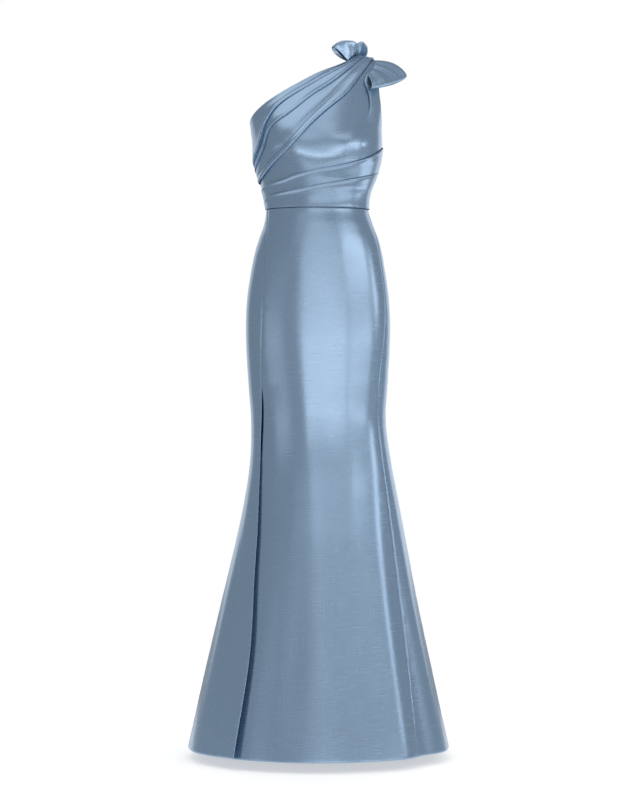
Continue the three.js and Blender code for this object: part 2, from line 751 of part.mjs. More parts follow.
function piece(name, geometry, color = satin, roughness = 0.42, metalness = 0.1) {
  const material = new THREE.MeshStandardMaterial({ color, roughness, metalness });
  const mesh = new THREE.Mesh(geometry, material);
  mesh.name = name;
  return mesh;
}

dress.add(
  piece("skirt_front_center", panel(centerEdge, leftSeamAt, steps.skirt.center, centerLift)),
);
dress.add(
  piece("skirt_side_right", panel(() => -sideSeam, rightSeamAt, steps.skirt.rightSide, sideLift)),
);
dress.add(piece("skirt_side_left", panel(leftSeamAt, () => sideSeam, steps.skirt.leftSide)));
dress.add(piece("skirt_back_left", panel(() => sideSeam, () => 180, steps.skirt.back)));
dress.add(piece("skirt_back_right", panel(() => -180, () => -sideSeam, steps.skirt.back)));
dress.add(piece("bodice_front", bodiceFront));
dress.add(piece("bodice_back_left", bodiceBackLeft));
dress.add(piece("bodice_back_right", bodiceBackRight));
dress.add(piece("shoulder_drape", shoulderDrape));
dress.add(piece("armhole_pleat", armholePleatWall));
dress.add(piece("midriff_upper", band(upperBandAt, lowerBandAt)));
dress.add(piece("midriff_lower", band(lowerBandAt, () => waistRun)));
dress.add(piece("bow_upper_loop", loop(upperLoop, steps.upperLoop, 1)));
dress.add(piece("bow_outer_loop", loop(outerLoop, steps.outerLoop, -1)));
const tapeAcross = spread(steps.tape.across);
const tapeWall = wall(tapePatch, tapeAcross, spread(steps.tape.down), tape.thickness);
dress.add(piece("zip_tape", tapeWall, underside));

// The slider and its pull lie along the back, with their own +Y away from the cloth.
const sliderRun = zipTop + slider.below;
const backOutward = outward(180, sliderRun);
const zipHead = new THREE.Group();
zipHead.position.copy(liftedPoint(180, sliderRun, seamGap));
zipHead.rotation.x = Math.atan2(backOutward.z, backOutward.y);
dress.add(zipHead);
const sliderBody = plate(sliderOutline(), slider.length).translate(0, 0, -slider.length / 2);
zipHead.add(piece("zip_slider", sliderBody, metal, 0.4, 0.6));
const tab = piece("zip_pull", plate(pullOutline(), pull.thickness), metal, 0.4, 0.6);
tab.geometry.translate(0, 0, -pull.thickness / 2);
tab.position.set(0, hingePlace.height, hingePlace.above);
tab.rotation.x = Math.PI / 2;
zipHead.add(tab);

export default dress;
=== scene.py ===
import math

import bpy
import numpy as np
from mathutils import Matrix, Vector


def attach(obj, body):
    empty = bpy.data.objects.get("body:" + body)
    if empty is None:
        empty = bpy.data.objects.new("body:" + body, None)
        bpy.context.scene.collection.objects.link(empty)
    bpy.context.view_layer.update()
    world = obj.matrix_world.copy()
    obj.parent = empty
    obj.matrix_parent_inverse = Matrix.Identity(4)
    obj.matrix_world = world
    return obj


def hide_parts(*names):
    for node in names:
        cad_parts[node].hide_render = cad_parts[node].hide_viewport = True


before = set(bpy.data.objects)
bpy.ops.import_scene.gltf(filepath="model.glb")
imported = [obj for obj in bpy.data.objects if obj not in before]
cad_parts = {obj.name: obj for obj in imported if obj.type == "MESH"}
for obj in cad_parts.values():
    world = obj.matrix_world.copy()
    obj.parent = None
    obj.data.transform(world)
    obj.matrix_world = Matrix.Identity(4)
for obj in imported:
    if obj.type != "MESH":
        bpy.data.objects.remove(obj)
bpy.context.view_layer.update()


# The camera stands five metres in front of the dress, level with the middle of its
# height, with a long lens, as for a full-length garment picture.
CAMERA_PLACE = (-0.1006, -5, -0.7622)
LENS = 100.1
camera_data = bpy.data.cameras.new("camera")
camera_data.sensor_width = 36
camera_data.lens = LENS
camera = bpy.data.objects.new("camera", camera_data)
camera.location = CAMERA_PLACE
camera.rotation_euler = (math.radians(90), 0, 0)
bpy.context.scene.collection.objects.link(camera)
bpy.context.scene.camera = camera
bpy.context.scene.view_settings.view_transform = "Standard"


# Skirt, centre front: the widest panel, cut in heavy satin with its underlining fused
# on, filled out to the figure above the knee and flared below it. Its right edge
# lies under the side panel from the slit down. The form of the whole dress comes
# first. The tables are in millimetres and degrees.
MM = 0.001
BODY_AXIS = -104
STRAP_THICKNESS = 1.8
WAIST_RUN = 367
HEM_RUN = 1570
SEAM_GAP = 0.3
SATIN_THICKNESS = 1.1
# Step for slopes of the form, in degrees round it and in millimetres down it.
SLOPE_STEP = 0.5
SEAM_EDGE = (0, 1.2, 2.6, 5)

FORM_COLUMNS = ("run", "z", "half", "lean", "front", "back", "square")
FORM = [
    (-10, -2.5, 150, -4, -9.5, -9.5, 2.6),
    (0, 0, 150, -4, 0, 0, 2.6),
    (10, -2.5, 150, -4, 9.5, 9.5, 2.6),
    (22, -9, 150, -4, 19.5, 19.5, 2.6),
    (36, -20, 150, -4, 29, 30, 2.6),
    (60, -40, 150, -4, 43, 46, 2.6),
    (90, -67, 149, -4, 58, 62, 2.6),
    (130, -103, 148, -4, 77, 78, 2.6),
    (178, -148, 146, -4, 97, 90, 2.55),
    (223, -193, 144, -1, 110, 96, 2.4),
    (259, -229, 141, -2, 112, 97, 2.25),
    (295, -265, 132, -3, 105, 93, 2.2),
    (331, -301, 120, -4.5, 95, 86, 2.15),
    (367, -337, 115, -3, 87, 80, 2.12),
    (403, -373, 123, 0, 90, 84, 2.2),
    (435, -405, 135, 0.5, 92.5, 93, 2.2),
    (479, -449, 146, -0.5, 95, 108, 2.2),
    (569, -539, 159.5, -1, 98, 126, 2.2),
    (650, -620, 162, -1, 100, 129, 2.2),
    (750, -720, 157, -1, 101, 123, 2.15),
    (840, -810, 151.5, 0, 103.5, 116, 2.1),
    (929, -899, 158, 4.5, 112, 121, 2.1),
    (1019, -989, 173, 6.5, 129, 137, 2.05),
    (1109, -1079, 191, 5.5, 148, 156, 2),
    (1243, -1213, 220, 2, 174, 184, 2),
    (1423, -1393, 261, 0, 213, 221, 2),
    (1570, -1540, 294, 0, 250, 247, 2),
]
# The bust's two crowns: x, run, reach and rise.
CUPS = [(-70, 232, 46, 7), (70, 232, 46, 7)]
FLUTE_TOP = 930
FLUTE_GROWTH = 1.3
# Flutes of the flare: angle, spread in degrees and depth at the hem.
FLUTES = [
    (-64, 11, 5),
    (38, 9, 5),
    (53, 7, -7),
    (69, 9, 5),
    (104, 12, -6),
    (131, 13, 8),
    (157, 11, -6),
    (180, 12, 7),
    (-155, 12, -7),
    (-127, 13, 9),
    (-102, 10, -5),
]


def read(table, columns, along, column, values):
    """Smooth reading of one column of a table at values of another."""
    values = np.asarray(values, float)
    keys = np.array([row[columns.index(along)] for row in table], float)
    marks = np.array([row[columns.index(column)] for row in table], float)
    slopes = np.empty(len(keys))
    slopes[1:-1] = (marks[2:] - marks[:-2]) / (keys[2:] - keys[:-2])
    slopes[0] = (marks[1] - marks[0]) / (keys[1] - keys[0])
    slopes[-1] = (marks[-1] - marks[-2]) / (keys[-1] - keys[-2])
    place = np.clip(values, keys[0], keys[-1])
    i = np.clip(np.searchsorted(keys, place, side="left") - 1, 0, len(keys) - 2)
    step = keys[i + 1] - keys[i]
    t = (place - keys[i]) / step
    hold = 2 * t**3 - 3 * t**2 + 1
    return (
        hold * marks[i]
        + (1 - hold) * marks[i + 1]
        + (t**3 - 2 * t**2 + t) * slopes[i] * step
        + (t**3 - t**2) * slopes[i + 1] * step
    )


def form_point(angle, run):
    """Outer face of the cloth: angle from centre front, run down from the shoulder."""
    angle, run = np.broadcast_arrays(np.asarray(angle, float), np.asarray(run, float))
    angle = np.where(run < 0, 180 - angle, angle)
    run = np.abs(run)
    half = read(FORM, FORM_COLUMNS, "run", "half", run)
    square = read(FORM, FORM_COLUMNS, "run", "square", run)
    side, fore = np.sin(np.radians(angle)), np.cos(np.radians(angle))
    oval = (np.abs(side) ** square + np.abs(fore) ** square) ** (-1 / square)
    depth = np.where(
        fore > 0,
        read(FORM, FORM_COLUMNS, "run", "front", run),
        read(FORM, FORM_COLUMNS, "run", "back", run),
    )
    x = read(FORM, FORM_COLUMNS, "run", "lean", run) + half * side * oval
    y = -depth * fore * oval
    z = read(FORM, FORM_COLUMNS, "run", "z", run)
    for cup_x, cup_run, reach, rise in CUPS:
        away = np.hypot(x - cup_x, run - cup_run) / reach
        y = y - np.where(fore > 0, rise * np.exp(-(away**2)), 0)
    flare = np.clip((run - FLUTE_TOP) / (HEM_RUN - FLUTE_TOP), 0, None) ** FLUTE_GROWTH
    for flute_angle, spread, flute_depth in FLUTES:
        away = ((angle - flute_angle + 540) % 360 - 180) / spread
        rise = flare * flute_depth * np.exp(-(away**2))
        x = x + rise * side
        y = y - rise * fore
    return np.stack([x, y, z], -1)


def outward(angle, run):
    """Direction away from the body, square to the cloth."""
    across = form_point(angle + SLOPE_STEP, run) - form_point(angle - SLOPE_STEP, run)
    down = form_point(angle, run + SLOPE_STEP) - form_point(angle, run - SLOPE_STEP)
    normal = np.cross(down, across)
    return normal / np.linalg.norm(normal, axis=-1, keepdims=True)


def lifted_point(angle, run, lift):
    return form_point(angle, run) + outward(angle, run) * np.asarray(lift)[..., None]


def shifted(angle, run, distance):
    """The angle a given distance further round the form."""
    gap = form_point(angle + SLOPE_STEP, run) - form_point(angle - SLOPE_STEP, run)
    return angle + 2 * SLOPE_STEP * distance / np.linalg.norm(gap, axis=-1)


def seam_stations(width, pitch):
    """Even stations across a width, with close ones where the edges roll in."""
    edge = np.array(SEAM_EDGE[:-1])
    count = round(width / pitch)
    inner = np.linspace(SEAM_EDGE[-1], width - SEAM_EDGE[-1], count)
    return np.concatenate([edge, inner, width - edge[::-1]]) / width


def lay_cloth(name, points, thickness=SATIN_THICKNESS, inwards=True):
    """A sheet from a grid of points, in rows from its top edge down, with its UV map
    in metres along the cloth. Its wall lies inside the points, or outside them."""
    rows, columns = points.shape[:2]
    bpy.ops.object.select_all(action="DESELECT")
    bpy.ops.mesh.primitive_grid_add(x_subdivisions=columns - 1, y_subdivisions=rows - 1)
    sheet = bpy.context.object
    sheet.name = name
    place = (points + [BODY_AXIS, 0, STRAP_THICKNESS]) * MM
    mesh = sheet.data
    mesh.vertices.foreach_set("co", place[::-1].reshape(-1))
    across = np.zeros((rows, columns))
    across[:, 1:] = np.cumsum(np.linalg.norm(np.diff(place, axis=1), axis=2), axis=1)
    across -= across[:, columns // 2][:, None]
    down = np.zeros((rows, columns))
    down[1:] = np.cumsum(np.linalg.norm(np.diff(place, axis=0), axis=2), axis=0)
    down = np.broadcast_to(down[:, columns // 2][:, None], down.shape)
    flat = np.stack([across, -down], -1)[::-1].reshape(-1, 2)
    corners = np.zeros(len(mesh.loops), int)
    mesh.loops.foreach_get("vertex_index", corners)
    mesh.uv_layers.active.data.foreach_set("uv", flat[corners].reshape(-1))
    bpy.ops.object.shade_smooth()
    wall = sheet.modifiers.new("wall", "SOLIDIFY")
    wall.thickness = thickness * MM
    wall.offset = -1 if inwards else 1
    wall.use_even_offset = False
    bpy.ops.object.modifier_apply(modifier=wall.name)
    return sheet


def wear(sheet, node):
    """Puts a finished sheet in its node's place."""
    sheet.data.materials.clear()
    sheet.data.materials.append(satin)
    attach(sheet, "dress")
    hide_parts(node)


# Satin: a smooth, stiff face with a soft bright sheen. Fine slubs run across the
# cloth, and its gloss and height vary a little.
satin = bpy.data.materials.new("dusty blue satin")
satin.use_nodes = True
nodes, links = satin.node_tree.nodes, satin.node_tree.links
gloss = nodes["Principled BSDF"]
gloss.inputs["Metallic"].default_value = 0.6
gloss.inputs["IOR"].default_value = 3.5
cloth_map = nodes.new("ShaderNodeUVMap")
slub_stretch = nodes.new("ShaderNodeMapping")
slub_stretch.inputs["Scale"].default_value = (22, 620, 1)
slub = nodes.new("ShaderNodeTexNoise")
slub.inputs["Scale"].default_value = 1
slub.inputs["Detail"].default_value = 3
warp_stretch = nodes.new("ShaderNodeMapping")
warp_stretch.inputs["Scale"].default_value = (700, 14, 1)
warp = nodes.new("ShaderNodeTexNoise")
warp.inputs["Scale"].default_value = 1
warp.inputs["Detail"].default_value = 2
links.new(cloth_map.outputs["UV"], slub_stretch.inputs["Vector"])
links.new(cloth_map.outputs["UV"], warp_stretch.inputs["Vector"])
links.new(slub_stretch.outputs["Vector"], slub.inputs["Vector"])
links.new(warp_stretch.outputs["Vector"], warp.inputs["Vector"])
threads = nodes.new("ShaderNodeMath")
threads.operation = "MULTIPLY_ADD"
threads.inputs[1].default_value = 0.5
links.new(warp.outputs["Fac"], threads.inputs[0])
links.new(slub.outputs["Fac"], threads.inputs[2])
tint = nodes.new("ShaderNodeValToRGB")
tint.color_ramp.elements[0].position = 0.5
tint.color_ramp.elements[0].color = (0.184, 0.32, 0.494, 1)
tint.color_ramp.elements[1].position = 1.0
tint.color_ramp.elements[1].color = (0.206, 0.35, 0.532, 1)
links.new(threads.outputs["Value"], tint.inputs["Fac"])
links.new(tint.outputs["Color"], gloss.inputs["Base Color"])
shine = nodes.new("ShaderNodeMapRange")
shine.inputs["From Min"].default_value = 0.5
shine.inputs["From Max"].default_value = 1.0
shine.inputs["To Min"].default_value = 0.22
shine.inputs["To Max"].default_value = 0.28
links.new(threads.outputs["Value"], shine.inputs["Value"])
links.new(shine.outputs["Result"], gloss.inputs["Roughness"])
weave = nodes.new("ShaderNodeBump")
weave.inputs["Strength"].default_value = 0.08
weave.inputs["Distance"].default_value = 0.0004
links.new(threads.outputs["Value"], weave.inputs["Height"])
links.new(weave.outputs["Normal"], gloss.inputs["Normal"])

SEAM_COLUMNS = ("run", "angle")
RIGHT_SEAM = [
    (367, -75),
    (438, -58),
    (572, -48),
    (761, -52),
    (903, -57),
    (1122, -46),
    (1330, -37),
    (1570, -37),
]
LEFT_SEAM = [
    (367, 80),
    (437, 72),
    (575, 67),
    (747, 58),
    (850, 60),
    (992, 58),
    (1299, 54),
    (1570, 48),
]
SLIT_TOP = 761
SLIT_COLUMNS = ("run", "underlap", "dip", "stand_off")
SLIT = [
    (761, 0, 0, 0),
    (800, -2.5, 1.5, 0.5),
    (880, -1.5, 3, 1),
    (960, 8, 3.4, 2),
    (1100, 24, 3.4, 5),
    (1570, 26, 3.4, 13),
]
SLIT_SOFTNESS = 60


def right_seam_at(run):
    return read(RIGHT_SEAM, SEAM_COLUMNS, "run", "angle", run)


def left_seam_at(run):
    return read(LEFT_SEAM, SEAM_COLUMNS, "run", "angle", run)


def slit_at(column, run):
    return np.where(run > SLIT_TOP, read(SLIT, SLIT_COLUMNS, "run", column, run), 0)


def near_slit(angle, run):
    gap = form_point(angle, run) - form_point(right_seam_at(run), run)
    return np.clip(1 - np.linalg.norm(gap, axis=-1) / SLIT_SOFTNESS, 0, None)


# Ripples along a seam: length, share and phase of each of their waves.
RIPPLES = [(7.3, 1, 1), (11.9, 0.8, 2.1), (4.7, 0.6, 3.3)]
RIPPLE_HEIGHT = 0.1
RIPPLE_FROM_EDGE = 7
RIPPLE_SPREAD = 60**0.5
# How deep and over what width each edge rolls in.
SEAM_ROLL = (0.9, 1.9)
WAIST_ROLL = (0.8, 1.9)
HEM_ROLL = (0.7, 1.4)


def rolled(distance, depth, width):
    """How far the cloth rolls inwards at a distance from its edge."""
    return -depth * np.exp(-((distance / width) ** 2))


def pucker(from_edge, run, seed):
    """Small uneven ripples along a seam and the roll of the cloth into it."""
    wave = sum(share * np.sin(run / length + phase * seed) for length, share, phase in RIPPLES)
    near = np.exp(-(((from_edge - RIPPLE_FROM_EDGE) / RIPPLE_SPREAD) ** 2))
    return RIPPLE_HEIGHT * wave * near + rolled(from_edge, *SEAM_ROLL)


SKIRT_ROW_COUNT = 230
SKIRT_FIRST_ROW = 9
SKIRT_LAST_ROW = 4
HEM_EDGE = (2.2, 0.8, 0)
SKIRT_ROWS = np.concatenate([
    WAIST_RUN + SEAM_GAP + np.array(SEAM_EDGE),
    np.linspace(WAIST_RUN + SKIRT_FIRST_ROW, HEM_RUN - SKIRT_LAST_ROW, SKIRT_ROW_COUNT),
    HEM_RUN - np.array(HEM_EDGE),
])


def skirt_panel(start, end, pitch, lift, seed=0.0):
    """Points of one skirt panel between two seams, from the waist to the hem."""
    run = SKIRT_ROWS
    begin = shifted(start(run), run, SEAM_GAP / 2)
    finish = shifted(end(run), run, -SEAM_GAP / 2)
    hem_width = np.linalg.norm(
        form_point(begin[-1:], run[-1:]) - form_point(finish[-1:], run[-1:])
    )
    share = seam_stations(hem_width, pitch)
    angle = begin[:, None] + (finish - begin)[:, None] * share[None, :]
    run = np.broadcast_to(run[:, None], angle.shape)
    flat = form_point(angle, run)
    steps = np.linalg.norm(np.diff(flat, axis=1), axis=2)
    width = np.concatenate([np.zeros((len(angle), 1)), np.cumsum(steps, axis=1)], axis=1)
    raised = pucker(width, run, seed) + pucker(width[:, -1:] - width, run, seed + 1.7)
    raised += rolled(run - WAIST_RUN, *WAIST_ROLL) + rolled(HEM_RUN - run, *HEM_ROLL)
    return lifted_point(angle, run, raised + lift(angle, run))


def center_edge(run):
    return shifted(right_seam_at(run), run, -slit_at("underlap", run))


DIP_HOLD = 1.3


def center_lift(angle, run):
    """The underlap dips inwards, and the panel beside it eases back to the form."""
    beside = np.minimum(1, DIP_HOLD * near_slit(angle, run))
    return -slit_at("dip", run) * np.where(angle < right_seam_at(run), 1, beside)


def caught(distance, reach):
    """Eases from 0 at a seam that catches the cloth to 1 at a given reach from it."""
    share = np.clip(distance / reach, 0, 1)
    return share * share * (3 - 2 * share)


def soft_waves(angle, run, rows):
    """Long shallow troughs and ridges of the cloth: middle, size, slant and depth."""
    total = 0
    for mid_angle, mid_run, across, along, slant, depth in rows:
        a = (angle - mid_angle - slant * (run - mid_run) / 100) / across
        r = (run - mid_run) / along
        total = total + depth * np.exp(-(a**2) - r**2)
    return total


FRONT_PITCH = 4.5
CENTER_WAVES = [
    (-8, 900, 9, 260, 1.5, 1.2),
    (12, 1050, 8, 300, 2.0, -1.5),
    (28, 900, 7, 260, 1.0, 1.4),
    (-24, 1250, 8, 240, -1.0, 1.6),
    (-12, 1400, 7, 200, -0.5, -1.8),
    (4, 1420, 8, 220, 0.5, 1.6),
    (20, 1400, 8, 220, 1.0, -1.6),
    (-20, 470, 10, 60, 4.0, 0.7),
    (30, 500, 9, 70, -4.0, -0.7),
    (5, 620, 12, 120, 2.0, -0.8),
]
center_front = lay_cloth(
    "centre_front_skirt",
    skirt_panel(
        center_edge,
        left_seam_at,
        FRONT_PITCH,
        lambda a, r: center_lift(a, r) + soft_waves(a, r, CENTER_WAVES),
    ),
)
wear(center_front, "skirt_front_center")


# Skirt, right side front: narrow at the waist and flared. Its front edge hangs free
# from the slit down and stands off over the centre panel.
def side_lift(angle, run):
    return slit_at("stand_off", run) * near_slit(angle, run)


RIGHT_WAVES = [
    (-70, 1200, 8, 260, 0.0, 1.5),
    (-52, 1380, 6, 200, 0.5, -2.0),
    (-80, 1400, 8, 240, 0.0, -1.8),
]
right_side = lay_cloth(
    "right_side_skirt",
    skirt_panel(
        lambda run: np.full(len(run), -90.0),
        right_seam_at,
        FRONT_PITCH,
        lambda a, r: side_lift(a, r) + soft_waves(a, r, RIGHT_WAVES),
        seed=2.0,
    ),
)
wear(right_side, "skirt_side_right")


# Skirt, left side front: the matching panel beside the left seam, with no slit.
LEFT_WAVES = [
    (66, 1150, 7, 260, 0.0, 1.4),
    (78, 1350, 7, 220, 0.0, -1.8),
]
left_side = lay_cloth(
    "left_side_skirt",
    skirt_panel(
        left_seam_at,
        lambda run: np.full(len(run), 90.0),
        FRONT_PITCH,
        lambda a, r: soft_waves(a, r, LEFT_WAVES),
        seed=4.0,
    ),
)
wear(left_side, "skirt_side_left")


# Skirt backs: two like panels that meet in the centre-back seam, whose upper end the
# zip closes.
BACK_PITCH = 5.5
BACK_WAVES = [
    (118, 1250, 8, 260, 0.0, -1.6),
    (143, 1200, 8, 280, 0.5, 1.8),
    (168, 1300, 7, 240, 0.0, -1.8),
    (150, 640, 12, 90, 2.0, -1.2),
    (125, 520, 9, 60, -6.0, 0.9),
    (205, 1250, 8, 260, 0.0, -1.6),
    (228, 1320, 8, 250, -0.5, 1.8),
    (250, 1200, 8, 260, 0.0, -1.6),
    (212, 610, 12, 80, -2.0, -1.1),
    (236, 500, 9, 60, 6.0, 0.9),
]
for side_name, first, last in (("left", 90.0, 180.0), ("right", 180.0, 270.0)):
    back = lay_cloth(
        side_name + "_back_skirt",
        skirt_panel(
            lambda run, first=first: np.full(len(run), first),
            lambda run, last=last: np.full(len(run), last),
            BACK_PITCH,
            lambda a, r: soft_waves(a, r, BACK_WAVES),
            seed=first / 30,
        ),
    )
    wear(back, "skirt_back_" + side_name)


# Bodice front: one piece from seam to seam with its strap, smooth over the bust
# between the drape and the armhole.
SIDE_SEAM = 90
STRAP_NECK_ANGLE = 32
STRAP_ARM_ANGLE = 57
SHOULDER_GAP = 0.4
EDGE_COLUMNS = ("angle", "run")
FRONT_NECKLINE = [
    (-90, 182),
    (-69, 165),
    (-54, 150),
    (-38, 125),
    (-23, 99),
    (-4, 67),
    (11, 44),
    (22, 29),
    (28, 14),
    (32, 0),
]
ARMHOLE = [(57, 0), (58.5, 50), (61, 98), (63.5, 121), (69, 147), (76, 166), (90, 182)]
BODICE_EASE = 1.35
LEAST_STRAP_COLUMNS = 8
TOP_ROLL = (0.7, 2)
PANEL_SEAM_ROLL = (0.6, 0.008)
ARMHOLE_ROLL = (0.7, 0.008)


def armhole_at(run):
    return read(ARMHOLE, EDGE_COLUMNS, "run", "angle", run)


def strapped_panel(start, neckline, facing, across, down):
    """Points of a bodice panel whose columns run down from neckline and shoulder."""
    neck_share = (STRAP_NECK_ANGLE - start) / (STRAP_ARM_ANGLE - start)
    strap_count = max(LEAST_STRAP_COLUMNS, round(across * (1 - neck_share)))
    u = np.concatenate([
        np.linspace(0, neck_share, across - strap_count),
        np.linspace(neck_share, 1, strap_count + 1)[1:],
    ])[None, :]
    v = (np.linspace(0, 1, down) ** BODICE_EASE)[:, None]
    free = start + (STRAP_ARM_ANGLE - start) * u
    top = np.where(
        free < STRAP_NECK_ANGLE,
        read(neckline, EDGE_COLUMNS, "angle", "run", free),
        SHOULDER_GAP,
    )
    run = top + (WAIST_RUN - SEAM_GAP - top) * v
    arm = shifted(armhole_at(run * u), run, -SEAM_GAP / 2)
    begin = shifted(start + 0 * run, run, SEAM_GAP / 2)
    angle = begin + (arm - begin) * u
    lift = rolled(run - top, *TOP_ROLL) + rolled(u, *PANEL_SEAM_ROLL)
    lift = lift + rolled(1 - u, *ARMHOLE_ROLL)
    return (angle if facing > 0 else 180 - angle), run, lift


FRONT_WAVES = [
    (20, 245, 16, 14, 6.0, -0.8),
    (38, 225, 9, 22, 3.0, 0.7),
    (10, 205, 14, 16, -8.0, 0.6),
]
front_angle, front_run, front_lift = strapped_panel(
    -SIDE_SEAM, FRONT_NECKLINE, facing=1, across=100, down=110
)
front_lift = front_lift + soft_waves(front_angle, front_run, FRONT_WAVES)
front = lay_cloth("bodice_front_satin", lifted_point(front_angle, front_run, front_lift))
wear(front, "bodice_front")


# Bodice back: two plain fitted pieces, the left one with the strap, that the zip
# joins at centre back.
BACK_NECKLINE = [
    (-90, 182),
    (-60, 163),
    (-35, 136),
    (-12, 102),
    (0, 84),
    (14, 60),
    (24, 34),
    (29, 14),
    (32, 0),
]
back_angle, back_run, back_lift = strapped_panel(
    0, BACK_NECKLINE, facing=-1, across=60, down=90
)
back_left = lay_cloth(
    "bodice_back_left_satin",
    lifted_point(back_angle, back_run, back_lift)[:, ::-1],
)
wear(back_left, "bodice_back_left")

BACK_ACROSS, BACK_DOWN = 60, 80
BACK_EASE = 1.1
CENTER_BACK_ROLL = (0.7, 0.01)
SIDE_ROLL = (0.6, 0.01)
u = np.linspace(0, 1, BACK_ACROSS)[None, :]
v = (np.linspace(0, 1, BACK_DOWN) ** BACK_EASE)[:, None]
top = read(BACK_NECKLINE, EDGE_COLUMNS, "angle", "run", -SIDE_SEAM * u)
run = top + (WAIST_RUN - SEAM_GAP - top) * v
begin = shifted(180 + 0 * run, run, SEAM_GAP / 2)
end = shifted(270 + 0 * run, run, -SEAM_GAP / 2)
angle = begin + (end - begin) * u
lift = rolled(run - top, *TOP_ROLL) + rolled(u, *CENTER_BACK_ROLL)
lift = lift + rolled(1 - u, *SIDE_ROLL)
back_right = lay_cloth("bodice_back_right_satin", lifted_point(angle, run, lift))
wear(back_right, "bodice_back_right")


# Shoulder drape: a bias-cut width of the satin, laid in three long pleats that run up
# from the right side seam and over the left shoulder. Its pleats fold over on
# themselves, and its neckline and lower edges are rolled under.
DRAPE_COLUMNS = (
    "at", "low_angle", "low_run", "third_angle", "third_run", "second_angle",
    "second_run", "first_angle", "first_run", "neck_angle", "neck_run",
    "first_sharp", "sharp", "full", "pad",
)
DRAPE = [
    (0, -89.5, 311, -89.5, 299, -89.5, 287, -89.5, 275, -89.5, 178, 1, 1, 0.15, 0),
    (1, -62, 298, -64, 286, -67, 267, -68.5, 253, -81, 170, 1, 1, 1.1, 0),
    (2, -45, 277, -48, 266, -53, 239, -56, 226, -70, 164, 1, 1, 1.2, 0),
    (3, -28, 246, -31.5, 237, -41, 194, -45, 181, -54, 146, 1, 1, 1, 0),
    (4, -10, 199, -13.5, 190, -23, 159, -31, 137, -38, 121, 0.8, 1, 0.9, 0),
    (5, 10, 148, 5.5, 137, -4, 114, -11, 97, -18, 86, 0.45, 1, 0.8, 0),
    (6, 25, 109, 19, 94, 13.5, 78, 7.5, 64, 2, 53, 0.2, 1, 0.8, 0.5),
    (7, 37, 62, 32, 50, 28, 42, 25, 34, 22, 26, 0.1, 0.7, 0.8, 3.5),
    (8, 52, 0, 47, 0, 42.5, 0, 38, 0, 33.5, 0, 0, 0.2, 0.6, 5.5),
    (9, 52, -34, 48.5, -34, 45, -34, 41.5, -34, 38, -34, 0, 0.2, 0.2, 0),
]
DRAPE_LINES = ("neck", "first", "second", "third", "low")
LAYER_LIFT = 2.5
LAYER_THICKNESS = 0.9
LEAST_LIFT = 0.9
LARGEST_SHARE = 0.3
ROWS_BETWEEN = 3
SEAM_SINK = 0.6
SEAM_CATCH = 0.2
END_CATCH = 0.22
# Stretches of stations along the drape: start, end and count.
DRAPE_STATIONS = [(0, 0.25, 12), (0.25, 6, 145), (6, 8.75, 64), (8.75, 9, 12)]
DRAPE_LOFT = 2.6
# Section from the neckline down: line, distance below it, share of the way to the
# next line, lift and share of the padding. A lift that turns back under is a fold.
DRAPE_SECTION = [
    ("neck", 1.0, 0, -1.9, 0.1),
    ("neck", 0.2, 0, -1.2, 0.15),
    ("neck", 0, 0, 0.1, 0.2),
    ("neck", 0.7, 0, 1.2, 0.3),
    ("neck", 2.4, 0, 1.7, 0.4),
    ("neck", 5, 0, 1.5, 0.5),
    ("neck", 0, 0.3, 1.3, 0.7),
    ("neck", 0, 0.5, 1.7, 0.8),
    ("neck", 0, 0.75, 3.3, 0.9),
    ("first", -6, 0, 5.2, 1),
    ("first", -3, 0, 6.1, 1),
    ("first", -0.8, 0, 6.2, 1),
    ("first", 0.8, 0, 5.3, 1),
    ("first", 1.3, 0, 4.0, 1),
    ("first", 0.6, 0, 2.8, 1),
    ("first", -0.4, 0, 1.9, 1),
    ("first", -0.6, 0, 1.1, 1),
    ("first", 0.8, 0, 0.6, 1),
    ("first", 3, 0, 0.9, 1),
    ("first", 0, 0.4, 1.9, 0.9),
    ("first", 0, 0.7, 3.0, 0.85),
    ("second", -4, 0, 4.3, 0.8),
    ("second", -1.6, 0, 4.8, 0.8),
    ("second", 0.2, 0, 4.4, 0.8),
    ("second", 1.0, 0, 3.3, 0.8),
    ("second", 0.5, 0, 2.2, 0.8),
    ("second", -0.3, 0, 1.3, 0.78),
    ("second", 0.4, 0, 0.6, 0.76),
    ("second", 2.4, 0, 0.7, 0.75),
    ("second", 0, 0.3, 1.9, 0.7),
    ("second", 0, 0.6, 2.9, 0.6),
    ("second", 0, 0.85, 2.4, 0.5),
    ("third", 0, 0, 1.2, 0.4),
    ("third", 1.6, 0, 1.6, 0.4),
    ("third", 0, 0.3, 3.6, 0.35),
    ("third", 0, 0.6, 4.8, 0.3),
    ("low", -2.4, 0, 4.9, 0.15),
    ("low", -0.7, 0, 4.2, 0.12),
    ("low", 0.3, 0, 2.7, 0.1),
    ("low", 0.1, 0, 1.0, 0.1),
    ("low", -0.8, 0, -0.6, 0.1),
    ("low", -1.8, 0, -1.6, 0.1),
]


